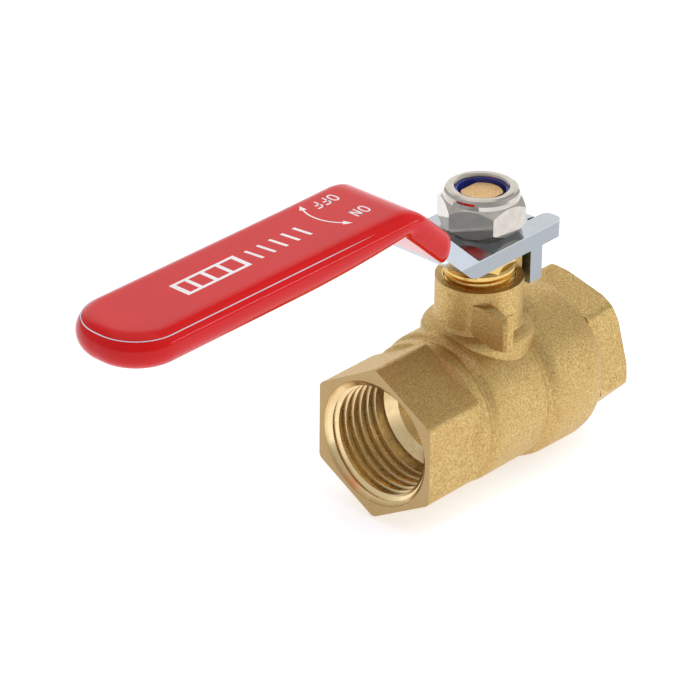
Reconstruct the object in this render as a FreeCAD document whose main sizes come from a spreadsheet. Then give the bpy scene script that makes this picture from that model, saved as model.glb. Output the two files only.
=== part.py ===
"""Half-inch lever ball valve, female threads at both ends.

Frame: +X runs along the pipe from the inlet face to the outlet face, +Z is up the stem,
and the origin is the centre of the inlet face. Each piece is drawn about the ball centre
and then placed along X. Sizes are in millimetres.
"""
import math
import os
import re

import FreeCAD, Part
import Sketcher

SIZES = {
    # pipe ends and hexagons
    "inlet_reach": 25.7, "outlet_reach": 24.5, "hex_flats": 24.0, "hex_length": 12.4,
    "cap_turn": 74.0, "edge_round": 1.3,
    "thread_crest": 9.5, "thread_depth": 0.95, "thread_pitch": 1.814, "thread_run": 11.2,
    "leadin_radius": 11.1, "leadin_depth": 0.9, "bore_end": 11.9,
    # forged casing round the ball
    "ring_radius": 12.8, "barrel_radius": 13.4, "collar_radius": 14.35, "rim_radius": 13.5,
    "parting_face": 17.0, "port_radius": 7.5, "cavity_radius": 11.0,
    "cap_thread": 11.9, "cap_nose": 6.7, "joint_gap": 0.04,
    # neck and stuffing box
    "neck_radius": 7.4, "neck_top": 24.5, "rim_top": 21.6, "tongue_angle": 30,
    "neck_flare": 9.6, "flare_level": 11.4,
    "box_radius": 5.3, "box_floor": 17.0, "stem_hole": 4.08,
    "shoulder_level": 13.0, "flange_pocket": 5.6, "lug_reach": 10.9,
    "lug_foot": 12.6, "lug_top": 19.4,
    # ball and seats
    "ball_radius": 10.5, "seat_gap": 0.05, "seat_back": 9.6, "seat_front": 6.7,
    "seat_outer": 10.1, "slot_width": 4.3, "slot_floor": 8.1,
    # stem and its seals
    "stem_radius": 4.0, "stem_flange": 5.4, "flange_low": 10.9, "flange_high": 12.2,
    "tang_length": 9.0, "tang_width": 4.1, "stem_top": 36.6, "stem_flats": 5.7,
    "flats_foot": 27.3, "groove_radius": 3.1, "groove_height": 1.1, "cord_radius": 0.46,
    "lower_groove": 13.4, "upper_groove": 15.2,
    # gland nut
    "gland_nose": 19.9, "gland_thread": 5.95, "gland_pitch": 1.0, "gland_shoulder": 24.1,
    "gland_top": 26.9, "gland_flats": 10.2,
    # lever and sleeve
    "lever_top": 30.4, "lever_thick": 3.0, "lever_half": 8.15, "lever_rise": 14.2,
    "lever_slope": 42.0, "step_foot": 10.0, "grip_end": 87.2, "plate_end": 11.4,
    "head_bend": 7.2, "foot_bend": 1.2, "stop_face": 8.3, "stop_half": 4.0,
    "stop_bottom": 18.0, "sleeve_wall": 0.8, "edge_soften": 2.1, "sleeve_mouth": 17.5,
    "mouth_lean": 1.4, "pad_depth": 1.5, "pad_start": 52.0, "hole_gap": 0.08,
    # lock nut
    "nut_flats": 13.0, "nut_height": 7.4, "nut_hex": 5.65, "crown_outer": 6.35,
    "crown_lip": 4.4, "insert_outer": 5.6, "insert_foot": 5.0, "insert_head": 6.7,
}

doc = FreeCAD.newDocument("BallValve")
sheet = doc.addObject("Spreadsheet::Sheet", "Dims")
for row, (alias, value) in enumerate(SIZES.items(), start=1):
    sheet.set("A%d" % row, alias)
    sheet.set("B%d" % row, str(value))
    sheet.setAlias("B%d" % row, alias)
doc.recompute()


def linked(text):
    """The same expression with every size name pointing at its cell."""
    return re.sub(r"[a-z]+_[a-z]+", lambda word: "Dims." + word.group(), text)


def bind(item, prop, text):
    item.setExpression(prop, linked(text))


# ------------------------------------------------------------------ sketches and features

def new_body(label):
    body = doc.addObject("PartDesign::Body", label)
    body.Label = label
    bind(body, "Placement.Base.x", "inlet_reach")
    return body


def new_sketch(body, plane, shift="0"):
    sketch = body.newObject("Sketcher::SketchObject", body.Name + "_sketch")
    origin_plane = next(item for item in body.Origin.OriginFeatures if item.Role == plane)
    sketch.AttachmentSupport = [(origin_plane, "")]
    sketch.MapMode = "FlatFace"
    bind(sketch, "AttachmentOffset.Base.z", shift)
    return sketch


def fix_point(sketch, line, end, place):
    """Ties one end of a line to the sketch origin by two driven distances."""
    for kind, text in zip(("DistanceX", "DistanceY"), place):
        number = sketch.addConstraint(Sketcher.Constraint(kind, -1, 1, line, end, 1.0))
        bind(sketch, "Constraints[%d]" % number, text)


def outline(sketch, corners):
    """A closed run of straight lines through corners given as pairs of expressions."""
    count = len(corners)
    base = sketch.GeometryCount
    for index in range(count):
        start = FreeCAD.Vector(index, index * index, 0)
        stop = FreeCAD.Vector(index + 1, (index + 1) ** 2, 0)
        sketch.addGeometry(Part.LineSegment(start, stop))
    for index in range(count):
        following = base + (index + 1) % count
        sketch.addConstraint(Sketcher.Constraint("Coincident", base + index, 2, following, 1))
        fix_point(sketch, base + index, 1, corners[index])


def circle(sketch, radius):
    up = FreeCAD.Vector(0, 0, 1)
    number = sketch.addGeometry(Part.Circle(FreeCAD.Vector(0, 0, 0), up, 1))
    sketch.addConstraint(Sketcher.Constraint("Coincident", number, 3, -1, 1))
    size = sketch.addConstraint(Sketcher.Constraint("Radius", number, 1.0))
    bind(sketch, "Constraints[%d]" % size, radius)


def flatted_circle(sketch, radius, half):
    """A circle about the origin with two flats parallel to the sketch's first axis."""
    round_line = Part.Circle(FreeCAD.Vector(0, 0, 0), FreeCAD.Vector(0, 0, 1), 4)
    right = sketch.addGeometry(Part.ArcOfCircle(round_line, -0.7, 0.7))
    left = sketch.addGeometry(Part.ArcOfCircle(round_line, math.pi - 0.7, math.pi + 0.7))
    high, low = FreeCAD.Vector(3, 2.6, 0), FreeCAD.Vector(3, -2.6, 0)
    top = sketch.addGeometry(Part.LineSegment(high, -low))
    bottom = sketch.addGeometry(Part.LineSegment(-high, low))
    joints = ((right, 2, top, 1), (top, 2, left, 1), (left, 2, bottom, 1), (bottom, 2, right, 1))
    for joint in joints:
        sketch.addConstraint(Sketcher.Constraint("Coincident", *joint))
    for arc in (right, left):
        sketch.addConstraint(Sketcher.Constraint("Coincident", arc, 3, -1, 1))
        size = sketch.addConstraint(Sketcher.Constraint("Radius", arc, 4.0))
        bind(sketch, "Constraints[%d]" % size, radius)
    for flat, text in ((top, half), (bottom, "-(%s)" % half)):
        sketch.addConstraint(Sketcher.Constraint("Horizontal", flat))
        gap = sketch.addConstraint(Sketcher.Constraint("DistanceY", -1, 1, flat, 1, 1.0))
        bind(sketch, "Constraints[%d]" % gap, text)


def hexagon(sketch, flats, turn="0"):
    reach = "%s / 2 / cos(30)" % flats
    corners = []
    for step in range(6):
        angle = "(%s + %d)" % (turn, 60 * step)
        corners.append(("%s * cos%s" % (reach, angle), "%s * sin%s" % (reach, angle)))
    outline(sketch, corners)


def feature(body, kind, sketch):
    item = body.newObject("PartDesign::" + kind, body.Name + "_" + kind.lower())
    item.Profile = sketch
    return item


def spin(body, corners, axis, cut=False):
    """Turns a profile about the pipe (H_Axis) or about the stem (V_Axis)."""
    sketch = new_sketch(body, "XZ_Plane")
    outline(sketch, corners)
    turned = feature(body, "Groove" if cut else "Revolution", sketch)
    turned.ReferenceAxis = (sketch, [axis])
    turned.Angle = 360.0
    doc.recompute()
    return turned


def extrude(body, sketch, length, cut=False, reverse=False):
    straight = feature(body, "Pocket" if cut else "Pad", sketch)
    bind(straight, "Length", length)
    straight.Reversed = reverse
    doc.recompute()
    return straight


def slab(body, corners, half_width, cut=False):
    """A side view pushed out to the same half width on both sides of the pipe plane."""
    sketch = new_sketch(body, "XZ_Plane", "-(%s)" % half_width)
    outline(sketch, corners)
    return extrude(body, sketch, "2 * (%s)" % half_width, cut, reverse=cut)


def column(body, corners, low, high, cut=False):
    """A plan view raised from one level to another."""
    sketch = new_sketch(body, "XY_Plane", low)
    outline(sketch, corners)
    return extrude(body, sketch, "%s - (%s)" % (high, low), cut, reverse=cut)


def dress(body, kind, size, wanted):
    """A fillet or chamfer on the edges for which wanted(edge) is true."""
    base = body.Tip
    names = ["Edge%d" % (n + 1) for n, edge in enumerate(base.Shape.Edges) if wanted(edge)]
    item = body.newObject("PartDesign::" + kind, body.Name + "_" + kind.lower())
    item.Base = (base, names)
    bind(item, "Radius" if kind == "Fillet" else "Size", size)
    doc.recompute()
    return item


def across(edge, x, z):
    """True for a straight edge that crosses the pipe plane at x, z."""
    ends = [vertex.Point for vertex in edge.Vertexes]
    return len(ends) == 2 and all(
        abs(point.x - x) < 0.02 and abs(point.z - z) < 0.02 for point in ends)


def upright(edge, x=None):
    """True for a vertical edge, at x when that is given."""
    ends = [vertex.Point for vertex in edge.Vertexes]
    if len(ends) != 2 or math.hypot(ends[0].x - ends[1].x, ends[0].y - ends[1].y) > 0.01:
        return False
    return x is None or abs(ends[0].x - x) < 0.02


def lengthwise(edge, mouth):
    """True for an edge of the sleeve that follows its outline, away from the mouth."""
    ends = [vertex.Point for vertex in edge.Vertexes]
    if len(ends) != 2 or upright(edge) or min(point.x for point in ends) > mouth:
        return False
    return abs(ends[0].y - ends[1].y) < SIZES["lever_half"] * 2


def ring(label, inner, outer, low, high):
    body = new_body(label)
    spin(body, [(inner, low), (outer, low), (outer, high), (inner, high)], "V_Axis")
    return body


def thread(body, axis, foot, run, crest, depth, pitch, outward=True):
    """Cuts a helical vee into a bore (outward) or into a bolt, from foot along the axis."""
    sketch = new_sketch(body, "XZ_Plane")
    sign = "+" if outward else "-"
    near = "%s %s (-0.08)" % (crest, sign)
    far = "%s %s %s" % (crest, sign, depth)
    vee = [("-0.35", near), ("-0.08", far), ("0.08", far), ("0.35", near)]
    corners = [("%s + %s * (%s)" % (foot, pitch, part), wall) for part, wall in vee]
    if axis == "V_Axis":
        corners = [(wall, along) for along, wall in corners]
    outline(sketch, corners)
    helix = feature(body, "SubtractiveHelix", sketch)
    helix.ReferenceAxis = (sketch, [axis])
    helix.Mode = "pitch-height-angle"
    bind(helix, "Pitch", pitch)
    bind(helix, "Height", run)
    doc.recompute()
    return helix


# ------------------------------------------------------------------ casing and end cap

def pipe_socket(body, face, inward):
    """Lead-in, thread and port of one pipe end; inward is the sign of X going in."""
    def along(depth):
        return "%s %s (%s)" % (face, inward, depth)
    spin(body, [
        (along("-1"), "0"), (along("-1"), "leadin_radius"), (along("0"), "leadin_radius"),
        (along("leadin_depth + 0.6"), "thread_crest"), (along("bore_end + 1.2"), "thread_crest"),
        (along("bore_end + 2.4"), "port_radius"), (along("18.5"), "port_radius"),
        (along("18.5"), "0"),
    ], "H_Axis", cut=True)
    foot = along("0") if inward == "+" else along("thread_run")
    thread(body, "H_Axis", foot, "thread_run", "thread_crest", "thread_depth", "thread_pitch")


def casing():
    body = new_body("body")
    sketch = new_sketch(body, "YZ_Plane", "-inlet_reach")
    hexagon(sketch, "hex_flats", "90")
    extrude(body, sketch, "hex_length")
    dress(body, "Fillet", "edge_round", lambda edge: abs(edge.tangentAt(0).x) > 0.99)
    spin(body, [
        ("-14.5", "0"), ("-14.5", "ring_radius - 1.2"), ("-13.0", "ring_radius - 0.1"),
        ("-12.4", "ring_radius"), ("-11.2", "ring_radius"), ("-10.7", "ring_radius - 0.15"),
        ("-10.3", "ring_radius - 0.1"), ("-9.9", "barrel_radius - 0.35"),
        ("-9.4", "barrel_radius - 0.1"), ("-8.7", "barrel_radius"),
        ("2.4", "barrel_radius"), ("3.1", "barrel_radius - 0.15"), ("3.7", "barrel_radius - 0.05"),
        ("4.3", "collar_radius - 0.55"), ("4.9", "collar_radius - 0.2"),
        ("5.6", "collar_radius - 0.03"), ("6.2", "collar_radius"),
        ("parting_face - 3.4", "collar_radius + 0.15"),
        ("parting_face - 1.6", "collar_radius - 0.1"),
        ("parting_face", "rim_radius"), ("parting_face", "0"),
    ], "H_Axis")
    spin(body, [
        ("0", "5"), ("neck_flare - 0.1", "5"), ("neck_flare", "flare_level - 0.4"),
        ("neck_flare", "flare_level + 0.6"), ("neck_flare - 0.2", "flare_level + 1.2"),
        ("neck_flare - 0.6", "flare_level + 1.7"), ("neck_flare - 1.2", "flare_level + 2.0"),
        ("neck_radius + 0.3", "flare_level + 2.3"), ("neck_radius", "flare_level + 3.0"),
        ("neck_radius", "neck_top"), ("0", "neck_top"),
    ], "V_Axis")
    for corner_x, corner_y, order in (("-1", "-1", 1), ("1", "1", -1)):
        lug = [("stop_half + 0.05", "3.6"), ("stop_half + 0.05", "lug_reach"),
               ("stop_half + 0.5", "lug_reach"), ("stop_half + 1.1", "lug_reach - 0.35"),
               ("stop_half + 1.4", "lug_reach - 1.0"), ("6.5", "2.8")]
        lug = [("%s * (%s)" % (corner_x, pair[0]), "%s * (%s)" % (corner_y, pair[1]))
               for pair in lug]
        column(body, [pair[::order] for pair in lug], "lug_foot", "lug_top")
    spin(body, [("neck_radius", "lug_top + 1"), ("neck_radius", "lug_top + 0.6"),
                ("11.5", "lug_top - 1.8"), ("11.5", "lug_top + 1")], "V_Axis", cut=True)
    column(body, [("0", "0"), ("12", "12 * tan(tongue_angle)"), ("12", "12"), ("-12", "12"),
                  ("-12", "-12"), ("12", "-12"), ("12", "-12 * tan(tongue_angle)")],
           "rim_top", "neck_top + 1", cut=True)
    spin(body, [
        ("-seat_back", "0"), ("-seat_back", "seat_outer + 0.05"),
        ("-seat_front", "seat_outer + 0.05"), ("-5.4", "cavity_radius"),
        ("cap_nose - 0.6", "cavity_radius"), ("cap_nose - 0.6", "cap_thread + joint_gap"),
        ("parting_face + 1", "cap_thread + joint_gap"), ("parting_face + 1", "0"),
    ], "H_Axis", cut=True)
    spin(body, [
        ("0", "6"), ("flange_pocket", "6"), ("flange_pocket", "shoulder_level"),
        ("stem_hole", "shoulder_level"), ("stem_hole", "box_floor"),
        ("box_radius", "box_floor"), ("box_radius", "gland_nose + 0.2"),
        ("gland_thread + 0.05", "gland_nose + 0.7"), ("gland_thread + 0.05", "neck_top + 1"),
        ("0", "neck_top + 1"),
    ], "V_Axis", cut=True)
    pipe_socket(body, "-inlet_reach", "+")
    return body


def end_cap():
    body = new_body("end_cap")
    sketch = new_sketch(body, "YZ_Plane", "parting_face")
    hexagon(sketch, "hex_flats", "cap_turn")
    extrude(body, sketch, "outlet_reach - parting_face")
    dress(body, "Fillet", "edge_round", lambda edge: abs(edge.tangentAt(0).x) > 0.99)
    spin(body, [("outlet_reach - 1.1", "14.2"), ("outlet_reach", "12.6"),
                ("outlet_reach + 1", "12.6"), ("outlet_reach + 1", "14.2")], "H_Axis", cut=True)
    spin(body, [
        ("cap_nose", "seat_outer + 0.5"), ("cap_nose + 0.6", "cap_thread"),
        ("parting_face - 1.4", "cap_thread"), ("parting_face - 1.0", "cap_thread - 0.5"),
        ("parting_face + 0.5", "cap_thread - 0.5"), ("parting_face + 0.5", "0"),
        ("cap_nose", "0"),
    ], "H_Axis")
    spin(body, [("cap_nose - 1", "0"), ("cap_nose - 1", "seat_outer + 0.05"),
                ("seat_back", "seat_outer + 0.05"), ("seat_back", "0")], "H_Axis", cut=True)
    pipe_socket(body, "outlet_reach", "-")
    return body


# ------------------------------------------------------------------ ball and seats

def primitive(kind, name, sizes, turn=None):
    """A Part solid about the ball centre; sizes maps its properties to expressions."""
    item = doc.addObject("Part::" + kind, name)
    for prop, text in sizes.items():
        bind(item, prop, text)
    if turn:
        item.Placement.Rotation = turn
    return item


def cut(name, base, tool):
    item = doc.addObject("Part::Cut", name)
    item.Base = base
    item.Tool = tool
    doc.recompute()
    return item


ALONG_X = FreeCAD.Rotation(FreeCAD.Vector(0, 1, 0), 90)


def pipe_cylinder(name, radius, start, length):
    return primitive("Cylinder", name, {
        "Radius": radius, "Height": length, "Placement.Base.x": start}, ALONG_X)


def ball():
    sphere = primitive("Sphere", "ball_sphere", {"Radius": "ball_radius"})
    port = pipe_cylinder("ball_port", "port_radius", "-ball_radius - 1", "2 * ball_radius + 2")
    slot = primitive("Box", "ball_slot", {
        "Length": "slot_width", "Width": "2 * ball_radius + 2", "Height": "ball_radius",
        "Placement.Base.x": "-slot_width / 2", "Placement.Base.y": "-ball_radius - 1",
        "Placement.Base.z": "slot_floor"})
    item = cut("ball", cut("ball_drilled", sphere, port), slot)
    bind(item, "Placement.Base.x", "inlet_reach")
    return item


def seat(label, start):
    """A soft ring whose front is hollowed to the ball."""
    outer = pipe_cylinder(label + "_outer", "seat_outer", start, "seat_back - seat_front")
    inner = pipe_cylinder(label + "_inner", "port_radius", "-15", "30")
    sphere = primitive("Sphere", label + "_sphere", {"Radius": "ball_radius + seat_gap"})
    item = cut(label, cut(label + "_ring", outer, inner), sphere)
    bind(item, "Placement.Base.x", "inlet_reach")
    return item


# ------------------------------------------------------------------ stem and its seals

def stem():
    body = new_body("stem")
    profile = [("0", "flange_low"), ("stem_flange", "flange_low"),
               ("stem_flange", "flange_high"), ("stem_radius", "flange_high")]
    for level in ("lower_groove", "upper_groove"):
        top = level + " + groove_height"
        profile += [("stem_radius", level), ("groove_radius", level), ("groove_radius", top),
                    ("stem_radius", top)]
    profile += [("stem_radius", "stem_top - 0.6"), ("stem_radius - 0.6", "stem_top"),
                ("0", "stem_top")]
    spin(body, profile, "V_Axis")
    half_x, half_y = "tang_width / 2", "tang_length / 2"
    column(body, [("-" + half_x, "-" + half_y), (half_x, "-" + half_y), (half_x, half_y),
                  ("-" + half_x, half_y)], "slot_floor + 0.2", "flange_low")
    for side in ("", "-"):
        near, far = side + "stem_flats / 2", side + "6"
        column(body, [("-6", near), ("6", near), ("6", far), ("-6", far)],
               "flats_foot", "stem_top + 1", cut=True)
    return body


def o_ring(label, level):
    item = primitive("Torus", label, {
        "Radius1": "groove_radius + cord_radius + 0.02", "Radius2": "cord_radius",
        "Placement.Base.x": "inlet_reach",
        "Placement.Base.z": "%s + groove_height / 2" % level})
    return item


def packing_nut():
    body = new_body("packing_nut")
    spin(body, [
        ("stem_hole", "gland_nose"), ("box_radius - 0.1", "gland_nose"),
        ("box_radius - 0.1", "gland_nose + 0.5"), ("gland_thread", "gland_nose + 1.1"),
        ("gland_thread", "gland_shoulder - 0.3"), ("gland_thread - 0.3", "gland_shoulder"),
        ("stem_hole", "gland_shoulder"),
    ], "V_Axis")
    sketch = new_sketch(body, "XY_Plane", "gland_shoulder - 0.2")
    hexagon(sketch, "gland_flats", "12")
    extrude(body, sketch, "gland_top - gland_shoulder + 0.2")
    spin(body, [("gland_flats / 2", "gland_top + 0.2"), ("gland_flats / 2", "gland_top"),
                ("6.4", "gland_top - 0.7"), ("6.4", "gland_top + 0.2")], "V_Axis", cut=True)
    spin(body, [("0", "gland_nose"), ("stem_hole", "gland_nose"),
                ("stem_hole", "gland_top + 1"), ("0", "gland_top + 1")], "V_Axis", cut=True)
    thread(body, "V_Axis", "gland_nose + 0.4", "gland_shoulder - gland_nose - 0.6",
           "gland_thread", "0.5", "gland_pitch", outward=False)
    return body


# ------------------------------------------------------------------ lever and sleeve

STEP_HEAD = "-step_foot - lever_rise / tan(lever_slope)"
GRIP_TOP = "lever_top + lever_rise"


def strip_corner(bend, drop):
    """A bend of the strip, moved down square to both of its legs."""
    corner_x, corner_z = {"foot": ("-step_foot", "lever_top"), "head": (STEP_HEAD, GRIP_TOP)}[bend]
    return ("%s - (%s) * tan(lever_slope / 2)" % (corner_x, drop),
            "%s - (%s)" % (corner_z, drop))


def at_bend(edge, bend, drop):
    """True for the edge across the strip at one of its bends, drop below the strip's top."""
    slope = math.radians(SIZES["lever_slope"])
    corner_x, corner_z = -SIZES["step_foot"], SIZES["lever_top"]
    if bend == "head":
        corner_x -= SIZES["lever_rise"] / math.tan(slope)
        corner_z += SIZES["lever_rise"]
    return across(edge, corner_x - drop * math.tan(slope / 2), corner_z - drop)


def lever():
    body = new_body("lever")
    foot = [strip_corner("foot", drop) for drop in ("0", "lever_thick")]
    head = [strip_corner("head", drop) for drop in ("0", "lever_thick")]
    slab(body, [
        ("plate_end", "lever_top - lever_thick"), ("plate_end", "lever_top"), foot[0], head[0],
        ("-grip_end", GRIP_TOP), ("-grip_end", GRIP_TOP + " - lever_thick"), head[1], foot[1],
    ], "lever_half")
    thick = SIZES["lever_thick"]
    for bend, drop, size in (("foot", 0, "foot_bend"), ("foot", thick, "foot_bend + lever_thick"),
                             ("head", 0, "head_bend"), ("head", thick, "head_bend - lever_thick")):
        dress(body, "Fillet", size, lambda edge: at_bend(edge, bend, drop))
    dress(body, "Fillet", "lever_half - 0.6", lambda edge: upright(edge, -SIZES["grip_end"]))
    notch = "stop_half + 0.4"
    column(body, [("stop_face - 1.4", "-(%s)" % notch), ("plate_end + 1", "-(%s)" % notch),
                  ("plate_end + 1", notch), ("stop_face - 1.4", notch)],
           "lever_top - lever_thick - 1", "lever_top + 1", cut=True)
    dress(body, "Fillet", "1.5", lambda edge: upright(edge, SIZES["plate_end"]))
    sketch = new_sketch(body, "XZ_Plane", "-stop_half")
    outline(sketch, [
        ("5.5", "lever_top - lever_thick"), ("5.5", "lever_top"),
        ("stop_face + lever_thick", "lever_top"), ("stop_face + lever_thick", "stop_bottom"),
        ("stop_face", "stop_bottom"), ("stop_face", "lever_top - lever_thick")])
    extrude(body, sketch, "2 * stop_half")
    stop_back = SIZES["stop_face"] + thick
    dress(body, "Fillet", "lever_thick + 0.8",
          lambda edge: across(edge, stop_back, SIZES["lever_top"]))
    dress(body, "Fillet", "0.8",
          lambda edge: across(edge, SIZES["stop_face"], SIZES["lever_top"] - thick))
    sketch = new_sketch(body, "XY_Plane", "lever_top - lever_thick - 1")
    flatted_circle(sketch, "stem_radius + hole_gap", "stem_flats / 2 + hole_gap")
    extrude(body, sketch, "lever_thick + 2", cut=True, reverse=True)
    return body


def sleeve_mouth(reach, drop):
    """A corner of the sleeve's mouth: reach from the stem, drop below the strip's top."""
    level = "lever_top + (%s - step_foot) * tan(lever_slope) - (%s) / cos(lever_slope)"
    return "-(%s)" % reach, level % (reach, drop)


def grip():
    outside = new_body("sleeve_outside")
    under = "lever_thick + sleeve_wall"
    slab(outside, [
        sleeve_mouth("sleeve_mouth", "-sleeve_wall"), strip_corner("head", "-sleeve_wall"),
        ("-grip_end - sleeve_wall", "%s + sleeve_wall" % GRIP_TOP),
        ("-grip_end - sleeve_wall", "%s - (%s) - pad_depth" % (GRIP_TOP, under)),
        ("-pad_start", "%s - (%s) - pad_depth" % (GRIP_TOP, under)),
        strip_corner("head", under), sleeve_mouth("(sleeve_mouth + mouth_lean)", under),
    ], "lever_half + sleeve_wall")
    wall, thick = SIZES["sleeve_wall"], SIZES["lever_thick"]
    dress(outside, "Fillet", "head_bend + sleeve_wall", lambda edge: at_bend(edge, "head", -wall))
    dress(outside, "Fillet", "1.6", lambda edge: at_bend(edge, "head", thick + wall))
    tip = -SIZES["grip_end"] - wall
    dress(outside, "Fillet", "lever_half + sleeve_wall - 0.6", lambda edge: upright(edge, tip))
    dress(outside, "Fillet", "edge_soften", lambda edge: lengthwise(
        edge, -SIZES["sleeve_mouth"] - SIZES["mouth_lean"] - 0.5))
    return cut("grip", outside, doc.getObject("lever"))


# ------------------------------------------------------------------ lock nut

def lock_nut():
    body = new_body("lock_nut")
    base = "lever_top + "
    sketch = new_sketch(body, "XY_Plane", "lever_top")
    hexagon(sketch, "nut_flats", "-4.5")
    extrude(body, sketch, "nut_hex")
    spin(body, [("nut_flats / 2 - 0.5", base + "-0.2"), ("nut_flats / 2 - 0.5", "lever_top"),
                ("8", base + "2.2"), ("8", base + "-0.2")], "V_Axis", cut=True)
    spin(body, [("crown_outer", base + "nut_hex + 0.2"), ("crown_outer", base + "nut_hex"),
                ("8", base + "nut_hex - 1.65"), ("8", base + "nut_hex + 0.2")],
         "V_Axis", cut=True)
    spin(body, [
        ("0", base + "nut_hex - 0.5"), ("crown_outer", base + "nut_hex - 0.5"),
        ("crown_outer", base + "nut_height - 1.0"), ("crown_outer - 0.12", base + "nut_height - 0.6"),
        ("crown_outer - 0.42", base + "nut_height - 0.24"),
        ("crown_outer - 0.8", base + "nut_height - 0.06"), ("crown_outer - 1.1", base + "nut_height"),
        ("crown_lip + 0.5", base + "nut_height"), ("crown_lip + 0.2", base + "nut_height - 0.1"),
        ("crown_lip", base + "nut_height - 0.4"), ("0", base + "nut_height - 0.4"),
    ], "V_Axis")
    spin(body, [
        ("0", base + "-1"), ("stem_radius + 0.03", base + "-1"),
        ("stem_radius + 0.03", base + "insert_foot"), ("insert_outer", base + "insert_foot"),
        ("insert_outer", base + "insert_head"), ("crown_lip", base + "insert_head"),
        ("crown_lip", base + "nut_height + 1"), ("0", base + "nut_height + 1"),
    ], "V_Axis", cut=True)
    return body


# ------------------------------------------------------------------ the assembly

pieces = [
    casing(), end_cap(), ball(), seat("seat_inlet", "-seat_back"),
    seat("seat_outlet", "seat_front"), stem(),
    ring("thrust_washer", "stem_radius + 0.06", "stem_flange", "flange_high + 0.03",
         "shoulder_level - 0.03"),
    o_ring("o_ring_lower", "lower_groove"), o_ring("o_ring_upper", "upper_groove"),
    ring("packing_ring_lower", "stem_radius + 0.06", "box_radius - 0.05", "box_floor",
         "box_floor + 1.4"),
    ring("packing_ring_upper", "stem_radius + 0.06", "box_radius - 0.05", "box_floor + 1.43",
         "gland_nose - 0.02"),
    packing_nut(), lever(), grip(), lock_nut(),
    ring("lock_insert", "stem_radius + 0.03", "insert_outer - 0.02",
         "lever_top + insert_foot + 0.02", "lever_top + insert_head - 0.02"),
]
doc.recompute()

for item in doc.Objects:
    if "Invalid" in item.State or "Error" in item.State:
        raise RuntimeError("%s failed: %s" % (item.Name, item.State))

os.makedirs("parts", exist_ok=True)
for piece in pieces:
    if piece.Shape.isNull() or not piece.Shape.isValid():
        raise RuntimeError(piece.Label + " has no valid shape")
    piece.Shape.exportStep("parts/%s.step" % piece.Label)
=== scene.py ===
import math

import bmesh
import bpy
import numpy as np
from mathutils import Matrix, Vector


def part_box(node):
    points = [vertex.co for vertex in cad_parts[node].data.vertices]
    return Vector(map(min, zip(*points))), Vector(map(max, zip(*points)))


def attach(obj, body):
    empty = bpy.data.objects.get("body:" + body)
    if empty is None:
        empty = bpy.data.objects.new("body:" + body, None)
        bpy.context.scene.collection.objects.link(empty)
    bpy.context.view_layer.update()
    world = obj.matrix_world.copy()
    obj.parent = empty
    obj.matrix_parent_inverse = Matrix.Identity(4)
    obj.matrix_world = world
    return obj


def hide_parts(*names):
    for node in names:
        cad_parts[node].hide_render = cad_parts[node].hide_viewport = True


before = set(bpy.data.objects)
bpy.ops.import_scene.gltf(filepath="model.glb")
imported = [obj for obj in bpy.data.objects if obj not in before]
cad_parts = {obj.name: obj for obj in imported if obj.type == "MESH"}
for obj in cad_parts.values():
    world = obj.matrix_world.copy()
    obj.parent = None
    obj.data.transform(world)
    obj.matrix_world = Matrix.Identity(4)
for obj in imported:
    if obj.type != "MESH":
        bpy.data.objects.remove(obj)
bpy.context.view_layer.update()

MM = 0.001
scene = bpy.context.scene
scene.view_settings.view_transform = "Standard"

# ------------------------------------------------------------------ places in the frame, in mm

CAP_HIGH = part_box("end_cap")[1] / MM
BODY_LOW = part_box("body")[0] / MM
GRIP_LOW, GRIP_HIGH = (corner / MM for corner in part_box("grip"))
NUT_LOW, NUT_HIGH = (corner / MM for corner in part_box("lock_nut"))
STEM_X = (NUT_LOW.x + NUT_HIGH.x) / 2
FLOOR_Z = BODY_LOW.z


# ------------------------------------------------------------------ camera

def place_camera():
    turn, lift, roll = (math.radians(a) for a in (-48.06, 28.57, 0.57))
    back = Vector((math.sin(turn) * math.cos(lift),
                   -math.cos(turn) * math.cos(lift), math.sin(lift)))
    level = Vector((math.cos(turn), math.sin(turn), 0))
    upright = back.cross(level)
    right = math.cos(roll) * level + math.sin(roll) * upright
    up = math.cos(roll) * upright - math.sin(roll) * level
    place = Vector((STEM_X, 0, 0)) - 21.14 * right + 6.349 * up + 635.41 * back
    data = bpy.data.cameras.new("camera")
    data.lens = 195.22
    data.sensor_width = 36
    data.clip_start = 0.02
    data.clip_end = 20
    camera = bpy.data.objects.new("camera", data)
    axes = Matrix((right, up, back)).transposed().to_4x4()
    camera.matrix_world = Matrix.Translation(place * MM) @ axes
    scene.collection.objects.link(camera)
    scene.camera = camera


place_camera()


# ------------------------------------------------------------------ node helpers

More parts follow.
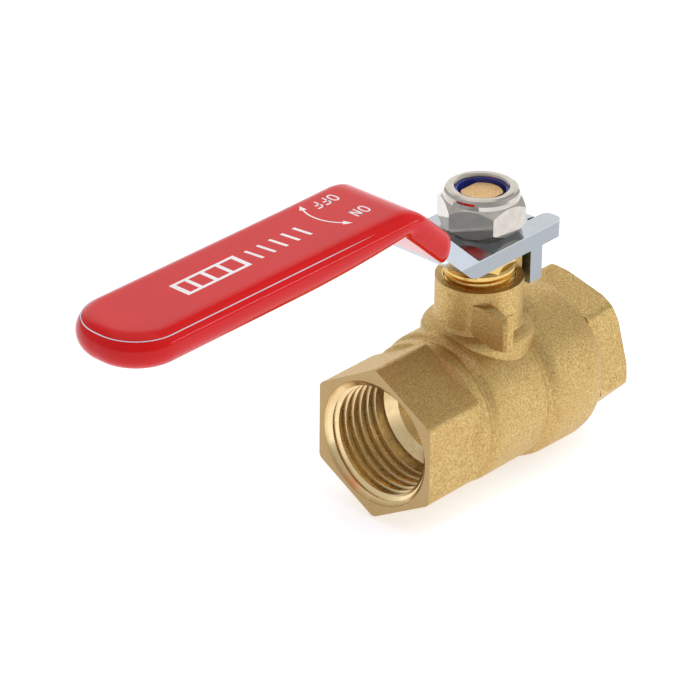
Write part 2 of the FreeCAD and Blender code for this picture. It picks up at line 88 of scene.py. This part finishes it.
class Nodes:
    """A material's or world's node tree, with short calls for the nodes used here."""

    def __init__(self, tree):
        self.tree = tree
        tree.nodes.clear()

    def add(self, kind, **settings):
        node = self.tree.nodes.new(kind)
        for name, value in settings.items():
            setattr(node, name, value)
        return node

    def join(self, source, socket):
        if isinstance(source, bpy.types.NodeSocket):
            self.tree.links.new(source, socket)
        elif socket.type == "RGBA" and len(source) == 3:
            socket.default_value = (*source, 1)
        else:
            socket.default_value = source

    def math(self, kind, a, b=0.0, c=0.0):
        node = self.add("ShaderNodeMath", operation=kind)
        for value, socket in zip((a, b, c), node.inputs):
            self.join(value, socket)
        return node.outputs[0]

    def ramp(self, value, low, high, start=0.0, stop=1.0):
        node = self.add("ShaderNodeMapRange", interpolation_type="SMOOTHSTEP")
        for entry, socket in zip((value, low, high, start, stop), node.inputs):
            self.join(entry, socket)
        return node.outputs[0]

    def mix(self, share, a, b):
        node = self.add("ShaderNodeMix", data_type="RGBA")
        self.join(share, node.inputs[0])
        self.join(a, node.inputs[6])
        self.join(b, node.inputs[7])
        return node.outputs[2]

    def blend(self, share, a, b):
        node = self.add("ShaderNodeMix", data_type="FLOAT")
        self.join(share, node.inputs[0])
        self.join(a, node.inputs[2])
        self.join(b, node.inputs[3])
        return node.outputs[0]

    def place(self):
        """The point in the frame at rest, and its three coordinates, in mm."""
        where = self.add("ShaderNodeTexCoord")
        scaled = self.add("ShaderNodeVectorMath", operation="SCALE")
        self.join(where.outputs["Object"], scaled.inputs[0])
        scaled.inputs["Scale"].default_value = 1 / MM
        split = self.add("ShaderNodeSeparateXYZ")
        self.join(scaled.outputs[0], split.inputs[0])
        return scaled.outputs[0], *split.outputs

    def noise(self, point, per_mm, detail=2.0, rough=0.5):
        node = self.add("ShaderNodeTexNoise")
        self.join(point, node.inputs["Vector"])
        node.inputs["Scale"].default_value = per_mm
        node.inputs["Detail"].default_value = detail
        node.inputs["Roughness"].default_value = rough
        return node.outputs[0]

    def cells(self, point, per_mm, feature="F1"):
        node = self.add("ShaderNodeTexVoronoi", feature=feature)
        self.join(point, node.inputs["Vector"])
        node.inputs["Scale"].default_value = per_mm
        return node.outputs["Distance"]

    def bump(self, height, depth_mm, strength=1.0, under=None):
        node = self.add("ShaderNodeBump")
        node.inputs["Distance"].default_value = depth_mm * MM
        node.inputs["Strength"].default_value = strength
        self.join(height, node.inputs["Height"])
        if under is not None:
            self.join(under, node.inputs["Normal"])
        return node.outputs[0]

    def radius(self, a, b):
        """The distance from an axis, from the two coordinates across it."""
        squares = self.math("ADD", self.math("MULTIPLY", a, a), self.math("MULTIPLY", b, b))
        return self.math("SQRT", squares)


def material(name, finish, **fixed):
    """A principled material: finish links what varies, fixed sets what is the same all over."""
    made = bpy.data.materials.new(name)
    made.use_nodes = True
    nodes = Nodes(made.node_tree)
    shader = nodes.add("ShaderNodeBsdfPrincipled")
    output = nodes.add("ShaderNodeOutputMaterial")
    nodes.join(shader.outputs[0], output.inputs["Surface"])
    for name, value in fixed.items():
        nodes.join(value, shader.inputs[name.replace("_", " ")])
    for name, source in finish(nodes).items():
        nodes.join(source, shader.inputs[name])
    return made


def scratches(n, point, per_mm, turn):
    """Fine straight marks: noise drawn out along one direction."""
    mapping = n.add("ShaderNodeMapping")
    n.join(point, mapping.inputs["Vector"])
    mapping.inputs["Rotation"].default_value = (0.3, 0.2, turn)
    mapping.inputs["Scale"].default_value = (0.06, 1, 1)
    return n.ramp(n.noise(mapping.outputs[0], per_mm, 3.0, 0.6), 0.56, 0.70)


# ------------------------------------------------------------------ materials

def blasted(n, point):
    """Colour, roughness and height of shot-blasted forged brass."""
    grain = n.noise(point, 3.2, 3.0, 0.62)
    pits = n.cells(point, 4.2)
    patches = n.noise(point, 0.16, 3.0, 0.55)
    shade = n.mix(n.ramp(grain, 0.36, 0.66), (0.52, 0.340, 0.112), (0.74, 0.542, 0.232))
    shade = n.mix(n.ramp(patches, 0.35, 0.70), shade, n.mix(0.35, shade, (0.56, 0.34, 0.12)))
    rough = n.ramp(grain, 0.30, 0.72, 0.56, 0.42)
    height = n.math("ADD", n.math("MULTIPLY", grain, 0.75), n.math("MULTIPLY", pits, 0.35))
    return shade, rough, height


def turned(n, point, along, per_mm):
    """Colour, roughness and height of brass cut on a lathe, with its marks square to one axis."""
    rings = n.add("ShaderNodeTexNoise", noise_dimensions="1D")
    n.join(along, rings.inputs["W"])
    rings.inputs["Scale"].default_value = per_mm
    rings.inputs["Detail"].default_value = 3.0
    film = n.noise(point, 0.5, 3.0)
    shade = n.mix(n.ramp(film, 0.35, 0.7), (0.80, 0.57, 0.27), (0.72, 0.47, 0.18))
    rough = n.ramp(film, 0.3, 0.7, 0.22, 0.32)
    return shade, rough, rings.outputs[0]


def forged_finish(face_x):
    """Blasted outside, turned end face at face_x, and bright cut threads and bores."""
    def finish(n):
        point, x, y, z = n.place()
        rough_skin = blasted(n, point)
        pipe = n.radius(y, z)
        from_stem = n.math("SUBTRACT", x, STEM_X)
        neck = n.radius(from_stem, y)
        face = n.ramp(n.math("ABSOLUTE", n.math("SUBTRACT", x, face_x)), 0.16, 0.05)
        bore = n.math("MULTIPLY", n.ramp(pipe, 11.85, 11.70), n.math("SUBTRACT", 1.0, face))
        stuffing = n.math("MULTIPLY", n.ramp(neck, 6.35, 6.25), n.ramp(z, 10, 10.2))
        cut_face = turned(n, point, pipe, 7.0)
        cut_bore = turned(n, point, x, 3.0)
        threads = n.ramp(pipe, 10.75, 10.55, 0.0, 0.6)
        inside = n.math("MAXIMUM", bore, stuffing)
        shade = n.mix(face, rough_skin[0], n.mix(0.85, cut_face[0], (0.40, 0.28, 0.13)))
        rough = n.blend(face, rough_skin[1], 0.42)
        shade = n.mix(inside, shade, n.mix(threads, cut_bore[0], (0.98, 0.80, 0.46)))
        rough = n.blend(inside, rough, cut_bore[1])
        outer = n.math("SUBTRACT", 1.0, n.math("MAXIMUM", inside, face))
        normal = n.bump(n.math("MULTIPLY", rough_skin[2], outer), 0.085, 0.85)
        normal = n.bump(n.math("MULTIPLY", cut_face[2], face), 0.012, 0.5, normal)
        normal = n.bump(n.math("MULTIPLY", cut_bore[2], inside), 0.010, 0.4, normal)
        return {"Base Color": shade, "Roughness": rough, "Normal": normal}
    return finish


def gland_finish(n):
    point, x, y, z = n.place()
    shade, rough, rings = turned(n, point, z, 6.0)
    shade = n.mix(0.6, shade, (0.72, 0.47, 0.12))
    return {"Base Color": shade, "Roughness": n.math("MULTIPLY", rough, 0.8),
            "Normal": n.bump(rings, 0.012, 0.5)}


def stem_finish(n):
    point, x, y, z = n.place()
    grain = n.noise(point, 4.5, 3.0, 0.6)
    shade = n.mix(n.ramp(grain, 0.35, 0.68), (0.66, 0.40, 0.17), (0.86, 0.62, 0.34))
    end = n.ramp(z, 36.2, 36.5)
    return {"Base Color": shade, "Roughness": n.blend(end, 0.25, 0.48),
            "Normal": n.bump(grain, 0.05, 0.7)}



def plated(shade, dull, tint, rough, wave_mm, side_shade_levels=None):
    """Bright plating with a faint wave, haze and fine scratches.

    The last argument gives the levels below which the colour turns darker and rougher: the darker
    colour is painted shade on the sides, underside and tab below the plate top.
    """
    def finish(n):
        point, x, y, z = n.place()
        haze = n.noise(point, 0.7, 3.0)
        lines = n.math("MAXIMUM", scratches(n, point, 5.0, 0.4), scratches(n, point, 6.0, 2.1))
        colour = n.mix(n.ramp(haze, 0.35, 0.75, 0.0, tint), shade, dull)
        gloss = n.math("ADD", n.ramp(haze, 0.3, 0.75, rough, rough * 1.9),
                       n.math("MULTIPLY", lines, 0.10))
        if side_shade_levels:
            # painted shade: below the plate top the colour turns darker; the added roughness
            # gives a duller finish there
            edge = n.ramp(z, *side_shade_levels)
            colour = n.mix(edge, colour, (0.355, 0.375, 0.385))
            gloss = n.math("ADD", gloss, n.math("MULTIPLY", edge, 0.16))
        wave = n.bump(n.noise(point, 0.22, 1.0), wave_mm, 0.6)
        return {"Base Color": colour, "Roughness": gloss,
                "Normal": n.bump(lines, -0.0015, 0.5, wave)}
    return finish


def moulded(shade, deep, rough, peel_mm, per_mm=0.9):
    """Moulded or dipped plastic: slight colour drift, orange peel, and a few dull specks."""
    def finish(n):
        point, x, y, z = n.place()
        drift = n.noise(point, 0.12, 2.0)
        specks = n.noise(point, 5.0, 2.0)
        colour = n.mix(n.ramp(drift, 0.3, 0.7), shade, deep)
        gloss = n.math("ADD", n.ramp(drift, 0.3, 0.7, rough, rough * 1.35),
                       n.ramp(specks, 0.62, 0.78, 0.0, 0.07))
        return {"Base Color": colour, "Roughness": gloss,
                "Normal": n.bump(n.noise(point, per_mm, 2.0), peel_mm, 0.5)}
    return finish


MATERIALS = {
    "forged_brass_body": material("forged_brass_body", forged_finish(BODY_LOW.x), Metallic=1.0),
    "forged_brass_cap": material("forged_brass_cap", forged_finish(CAP_HIGH.x), Metallic=1.0),
    "gland_brass": material("gland_brass", gland_finish, Metallic=1.0),
    "stem_brass": material("stem_brass", stem_finish, Metallic=1.0),
    # the last two levels darken the lever below its plate top: painted shade on its sides and tab
    "lever_plating": material("lever_plating", plated(
        (0.50, 0.53, 0.565), (0.46, 0.49, 0.52), 0.6, 0.055, 0.05,
        (NUT_LOW.z - 0.05, NUT_LOW.z - 0.3)), Metallic=1.0),
    "nut_plating": material("nut_plating", plated(
        (0.60, 0.55, 0.485), (0.48, 0.43, 0.37), 0.6, 0.07, 0.02), Metallic=1.0),
    "ball_chrome": material("ball_chrome", plated(
        (0.72, 0.73, 0.75), (0.60, 0.60, 0.62), 0.5, 0.04, 0.0), Metallic=1.0),
    "blue_nylon": material("blue_nylon", moulded(
        (0.022, 0.030, 0.22), (0.016, 0.022, 0.16), 0.30, 0.02), IOR=1.53),
    "ptfe": material("ptfe", moulded(
        (0.86, 0.86, 0.84), (0.80, 0.80, 0.77), 0.42, 0.02), IOR=1.36),
    "nitrile": material("nitrile", moulded(
        (0.018, 0.018, 0.020), (0.028, 0.027, 0.026), 0.50, 0.02), IOR=1.52),
    "red_vinyl": material("red_vinyl", moulded(
        (0.60, 0.0005, 0.001), (0.565, 0.0005, 0.001), 0.10, 0.012, 0.45), IOR=1.36),
    "white_ink": material("white_ink", moulded(
        (0.86, 0.80, 0.80), (0.78, 0.70, 0.70), 0.28, 0.01, 3.0), IOR=1.5),
}

NODE_MATERIALS = {
    "body": "forged_brass_body", "end_cap": "forged_brass_cap", "packing_nut": "gland_brass",
    "stem": "stem_brass", "ball": "ball_chrome", "seat_inlet": "ptfe", "seat_outlet": "ptfe",
    "thrust_washer": "ptfe", "packing_ring_lower": "ptfe", "packing_ring_upper": "ptfe",
    "o_ring_lower": "nitrile", "o_ring_upper": "nitrile", "lever": "lever_plating",
    "grip": "red_vinyl", "lock_nut": "nut_plating", "lock_insert": "blue_nylon",
}

for node, name in NODE_MATERIALS.items():
    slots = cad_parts[node].material_slots
    for entry in slots:
        entry.material = MATERIALS[name]


# ------------------------------------------------------------------ meshes

def mesh_piece(name, points, faces, made_of, body):
    """A smooth-shaded piece from points in mm, riding on a body."""
    data = bpy.data.meshes.new(name)
    data.from_pydata([[value * MM for value in point] for point in points], [], faces)
    data.validate()
    data.shade_smooth()
    data.materials.append(MATERIALS[made_of])
    piece = bpy.data.objects.new(name, data)
    scene.collection.objects.link(piece)
    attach(piece, body)
    return piece


# ------------------------------------------------------------------ red sleeve

WALL = 0.8                  # sleeve wall
HALF_WIDE = GRIP_HIGH.y     # sleeve half width
HALF_THICK = 2.3            # half its thickness, strip and both walls
TOP = GRIP_HIGH.z           # level of the flat top
TIP = GRIP_LOW.x - STEM_X   # far end, from the stem
TIP_ROUND = 8.35            # plan radius of the corners at the tip
ROLL, MOUTH_ROLL = 2.75, 1.5  # how far in from the side the top starts to turn down
SLOPE = math.radians(42)
BEND_TOP, BEND_UNDER = 8.0, 1.6
MOUTH_TOP, MOUTH_UNDER = 17.5, 18.9
PAD_DEPTH, PAD_START = 1.5, -52.0  # the sleeve is thicker below its grip
LEVER_RISE, STEP_FOOT = 14.2, -10.0  # the strip's climb, and where it starts from the stem
# Rings of the turned-in mouth: how far inside the outline, and how far out along the slope.
MOUTH_RINGS = ((0.10, 0.16), (0.28, 0.26), (0.5, 0.27), (0.7, 0.18), (0.8, 0.0), (0.82, -3.0))
HEAD_X = STEP_FOOT - LEVER_RISE / math.tan(SLOPE)


def bend_line(offset, radius, reach):
    """The sleeve's top or under line: end of its flat, arc centre and radius, slope, mouth."""
    corner = np.array([HEAD_X + offset * math.tan(SLOPE / 2), TOP - WALL + offset])
    back = radius * math.tan(SLOPE / 2)
    flat_end = corner - [back, 0]
    down = np.array([math.cos(SLOPE), -math.sin(SLOPE)])
    centre = flat_end - [0, radius]
    mouth = corner + down * ((-reach - corner[0]) / down[0])
    return flat_end, centre, radius, corner + down * back, mouth


def along(line, share):
    """A point of a bend line: share 0 to 1 is the flat, 1 to 2 the arc, 2 to 3 the slope.

    The under line drops over its flat, where the sleeve is thicker.
    """
    flat_end, centre, radius, slope_start, mouth = line
    if share <= 1:
        x = TIP + share * (flat_end[0] - TIP)
        thicker = min(1, max(0, (flat_end[0] - x) / (flat_end[0] - PAD_START)))
        drop = PAD_DEPTH * thicker * (2 - thicker) if line is UNDER else 0
        return np.array([x, flat_end[1] - drop])
    if share <= 2:
        turn = (share - 1) * SLOPE
        return centre + radius * np.array([math.sin(turn), math.cos(turn)])
    return slope_start + (share - 2) * (mouth - slope_start)


UPPER = bend_line(WALL, BEND_TOP, MOUTH_TOP)
UNDER = bend_line(WALL - 2 * HALF_THICK, BEND_UNDER, MOUTH_UNDER)


def sleeve():
    """A dipped sleeve: rings set in from its outline, rolled edges, and a mouth turned in."""
    top, under = UPPER, UNDER
    flat_length = top[0][0] - TIP
    plan = []                                    # outline points with inward normals
    corner_x, corner_y = TIP_ROUND / flat_length, HALF_WIDE - TIP_ROUND
    shares = [3 - 0.14 * k for k in range(8)] + [2 - 0.1 * k for k in range(1, 10)]
    shares = [value for value in shares if value > 1.0] + list(np.linspace(1.0, corner_x, 60))
    for share in shares:
        plan.append((share, -HALF_WIDE, 0.0, 1.0))
    for turn in np.linspace(0, math.pi / 2, 26)[1:]:
        plan.append((corner_x * (1 - math.sin(turn)), -corner_y - TIP_ROUND * math.cos(turn),
                     math.sin(turn), math.cos(turn)))
    plan += [(share, -y, across, -inward) for share, y, across, inward in reversed(plan)]
    edge = [ROLL * (1 - math.cos(k * math.pi / 28)) for k in range(15)]
    depths = edge + [3.6, 4.6, 5.8, 7.1, TIP_ROUND, HALF_WIDE]
    points = []
    for side in (1, -1):
        for depth in depths:
            for share, y, across, inward in plan:
                turned_in = min(depth, TIP_ROUND)
                at = share + turned_in * across / flat_length
                width = y + turned_in * inward
                if depth > TIP_ROUND:
                    width = 0.0
                roll = ROLL + (MOUTH_ROLL - ROLL) * min(1, max(0, share - 1.2) / 1.0)
                level = math.sqrt(max(0.0, 1 - (1 - min(depth, roll) / roll) ** 2))
                height = level * (1 - 0.02 / HALF_THICK)
                middle = (along(top, at) + along(under, at)) / 2
                reach = (along(top, at) - along(under, at)) / 2
                x, z = middle + side * height * reach
                points.append((x + STEM_X, width, z))
    count, rows = len(plan), len(depths)
    faces = []
    for side in range(2):
        base = side * rows * count
        for row in range(rows - 1):
            for k in range(count - 1):
                a, b = base + row * count + k, base + (row + 1) * count + k
                quad = (a, a + 1, b + 1, b)
                faces.append(quad if side else quad[::-1])
    under_row = rows * count
    loop = [row * count for row in range(rows)]
    loop += [(row + 1) * count - 1 for row in reversed(range(rows - 1))]
    loop += [under_row + (row + 1) * count - 1 for row in range(1, rows)]
    loop += [under_row + row * count for row in reversed(range(1, rows - 1))]
    slope_way = np.array([math.cos(SLOPE), -math.sin(SLOPE)])
    middle = (along(top, 3) + along(under, 3)) / 2
    rim = []
    for inset, out in MOUTH_RINGS:
        ring = []
        for index in loop:
            x, y, z = points[index]
            from_middle = np.array([x - STEM_X, z]) - middle
            shrink_y, shrink_z = 1 - inset / HALF_WIDE, 1 - inset / HALF_THICK
            at = middle + from_middle * shrink_z + slope_way * out
            ring.append(len(points))
            points.append((at[0] + STEM_X, y * shrink_y, at[1]))
        rim.append(ring)
    for outer, inner in zip([loop] + rim, rim):
        for k in range(len(loop)):
            following = (k + 1) % len(loop)
            faces.append((outer[k], outer[following], inner[following], inner[k]))
    piece = mesh_piece("vinyl_sleeve", points, faces, "red_vinyl", "handle")
    mesh = bmesh.new()
    mesh.from_mesh(piece.data)
    bmesh.ops.remove_doubles(mesh, verts=mesh.verts, dist=0.002 * MM)
    bmesh.ops.recalc_face_normals(mesh, faces=mesh.faces)
    mesh.to_mesh(piece.data)
    mesh.free()
    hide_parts("grip")
    return piece


sleeve()


# ------------------------------------------------------------------ white print on the sleeve

PRINT_FLOOR, PRINT_TOP = TOP - 0.06, TOP - 0.004


def printed(name, outlines):
    """Flat white ink: outlines of (x from the stem, y) corners in mm, each a closed ring."""
    mesh = bmesh.new()
    for ring in outlines:
        low = [mesh.verts.new(((x + STEM_X) * MM, y * MM, PRINT_FLOOR * MM)) for x, y in ring]
        high = [mesh.verts.new(((x + STEM_X) * MM, y * MM, PRINT_TOP * MM)) for x, y in ring]
        mesh.faces.new(high)
        mesh.faces.new(low[::-1])
        for k in range(len(ring)):
            following = (k + 1) % len(ring)
            mesh.faces.new((low[k], low[following], high[following], high[k]))
    bmesh.ops.recalc_face_normals(mesh, faces=mesh.faces)
    bmesh.ops.triangulate(mesh, faces=[face for face in mesh.faces if len(face.verts) > 4])
    data = bpy.data.meshes.new(name)
    mesh.to_mesh(data)
    mesh.free()
    data.materials.append(MATERIALS["white_ink"])
    piece = bpy.data.objects.new(name, data)
    scene.collection.objects.link(piece)
    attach(piece, "handle")
    return piece


def stroke(points, width):
    """The ring round a run of points, drawn with a pen of that width."""
    path = np.array(points, float)
    way = np.gradient(path, axis=0)
    way /= np.linalg.norm(way, axis=1)[:, None]
    side = np.column_stack((-way[:, 1], way[:, 0])) * width / 2
    return [tuple(point) for point in np.vstack((path + side, (path - side)[::-1]))]


def squared(share, squareness):
    """A cosine or sine pushed out so that a circle turns towards a square."""
    return math.copysign(abs(share) ** (2 / squareness), share)


def loop(centre, half, width, squareness=2.6, steps=40):
    """Two half rings that make a closed letter O."""
    halves = []
    for start in (0, math.pi):
        turns = np.linspace(start, start + math.pi, steps)
        for_ring = []
        for shrink in (0, width):
            ring = [(centre[0] + (half[0] - shrink) * squared(math.cos(t), squareness),
                     centre[1] + (half[1] - shrink) * squared(math.sin(t), squareness))
                    for t in turns]
            for_ring += ring if not shrink else ring[::-1]
        halves.append(for_ring)
    return halves


def bar(start, stop, width):
    return stroke([start, stop], width)


def word(letters, place, high=2.3, wide=1.45, gap=0.42, pen=0.30):
    """Rings for a word of O, N and F, read towards the tip with its letter tops towards -Y."""
    rings = []
    for index, letter in enumerate(letters):
        left = index * (wide + gap)
        if letter == "O":
            shapes = loop((left + wide / 2, high / 2), (wide / 2, high / 2), pen)
        elif letter == "N":
            shapes = [bar((left + pen / 2, 0), (left + pen / 2, high), pen),
                      bar((left + wide - pen / 2, 0), (left + wide - pen / 2, high), pen),
                      [(left, high), (left + pen * 1.2, high), (left + wide, 0),
                       (left + wide - pen * 1.2, 0)]]
        else:
            shapes = [bar((left + pen / 2, 0), (left + pen / 2, high), pen),
                      bar((left, high - pen / 2), (left + wide, high - pen / 2), pen),
                      bar((left, high * 0.52), (left + wide * 0.8, high * 0.52), pen)]
        rings += [[(place[0] - x, place[1] - y) for x, y in ring] for ring in shapes]
    return rings


def turn_arrow():
    """A two-headed arc between the words."""
    centre, reach = np.array((-32.2, 1.6)), 6.4
    turns = np.radians(np.linspace(152, 224, 28))
    arc = centre + reach * np.column_stack((np.cos(turns), np.sin(turns)))
    heads = []
    for end, before in ((arc[0], arc[3]), (arc[-1], arc[-4])):
        way = (end - before) / np.linalg.norm(end - before)
        side = np.array((-way[1], way[0]))
        heads.append([tuple(end + way * 1.5), tuple(end + side * 0.62), tuple(end - side * 0.62)])
    return [stroke(arc, 0.30)] + heads


def size_band():
    """A plain band where a maker would print a name: slanted bars, then a block with windows."""
    rings = []
    for k in range(5):
        x = -43.2 - 2.7 * k
        rings.append([(x, 1.5), (x - 0.62, 1.5), (x + 0.45 - 0.62, -2.0), (x + 0.45, -2.0)])
    near, far, start, stop = -2.3, 1.9, -56.6, -70.4
    rail = 0.55
    rings.append([(start, near), (stop, near), (stop, near + rail), (start, near + rail)])
    rings.append([(start, far - rail), (stop, far - rail), (stop, far), (start, far)])
    for share, wide in ((0.0, 0.9), (0.26, 0.8), (0.50, 0.8), (0.74, 0.8), (0.93, 0.97)):
        x = start + share * (stop - start)
        rings.append([(x, near + rail), (x - wide, near + rail),
                      (x - wide, far - rail), (x, far - rail)])
    return rings


printed("print_on", word("ON", (-30.3, -0.85)))
printed("print_off", word("OFF", (-30.7, 5.35)))
printed("print_arrow", turn_arrow())
printed("print_band", size_band())

# ------------------------------------------------------------------ floor, world and lights

def place_floor():
    mesh = bmesh.new()
    bmesh.ops.create_grid(mesh, x_segments=8, y_segments=8, size=4)
    data = bpy.data.meshes.new("floor")
    mesh.to_mesh(data)
    mesh.free()
    floor = bpy.data.objects.new("floor", data)
    floor.location = (STEM_X * MM, 0, (FLOOR_Z - 0.02) * MM)
    scene.collection.objects.link(floor)
    data.materials.append(material("floor_paper", lambda n: {
        "Base Color": n.mix(n.noise(n.place()[0], 0.02), (0.65, 0.68, 0.74), (0.67, 0.70, 0.76)),
    }, Roughness=0.9, Emission_Color=(1, 1, 1), Emission_Strength=0.56))


# Bright cards and dark corners of the studio: direction, the cosines from it where each is
# full and where it is gone, and its level.
LOBES = [
    ((0.00, 0.00, 1.00), 0.93, 0.74, 1.05),
    ((0.66, 0.60, 0.45), 0.93, 0.75, 1.12),
    ((-0.60, -0.70, 0.40), 0.90, 0.55, 0.50),
    ((0.66, -0.15, 0.74), 0.975, 0.90, 0.52),
    ((0.66, -0.50, 0.56), 0.965, 0.86, 0.66),
]


def place_world():
    world = bpy.data.worlds.new("studio")
    scene.world = world
    world.use_nodes = True
    n = Nodes(world.node_tree)
    where = n.add("ShaderNodeTexCoord")
    split = n.add("ShaderNodeSeparateXYZ")
    n.join(where.outputs["Generated"], split.inputs[0])
    x, y, z = split.outputs
    shade = 0.62
    for centre, inner, outer, share in LOBES:
        pieces = [n.math("MULTIPLY", axis, part) for axis, part in zip((x, y, z), centre)]
        facing = n.math("ADD", n.math("ADD", pieces[0], pieces[1]), pieces[2])
        shade = n.blend(n.ramp(facing, outer, inner), shade, share)
    backdrop = n.add("ShaderNodeBackground")
    n.join(n.mix(shade, (0.90, 0.95, 1.0), (1.0, 1.0, 1.0)), backdrop.inputs["Color"])
    n.join(shade, backdrop.inputs["Strength"])
    output = n.add("ShaderNodeOutputWorld")
    n.join(backdrop.outputs[0], output.inputs["Surface"])


def softbox(name, place, target, size, power, glossy=True):
    data = bpy.data.lights.new(name, "AREA")
    data.shape = "RECTANGLE"
    data.size, data.size_y = size
    data.energy = power
    light = bpy.data.objects.new(name, data)
    aim = Vector(target) - Vector(place)
    turned_to = aim.to_track_quat("-Z", "Y").to_matrix().to_4x4()
    light.matrix_world = Matrix.Translation(place) @ turned_to
    light.visible_glossy = glossy
    light.visible_camera = False
    scene.collection.objects.link(light)


place_floor()
place_world()
softbox("overhead", (0.6, -1.1, 1.7), (0.0, 0.0, 0.0), (2.4, 2.4), 22, glossy=False)
softbox("side_strip", (0.75, -0.78, 0.20), (0.0, 0.0, 0.02), (0.8, 0.06), 0.8)

bpy.context.view_layer.update()
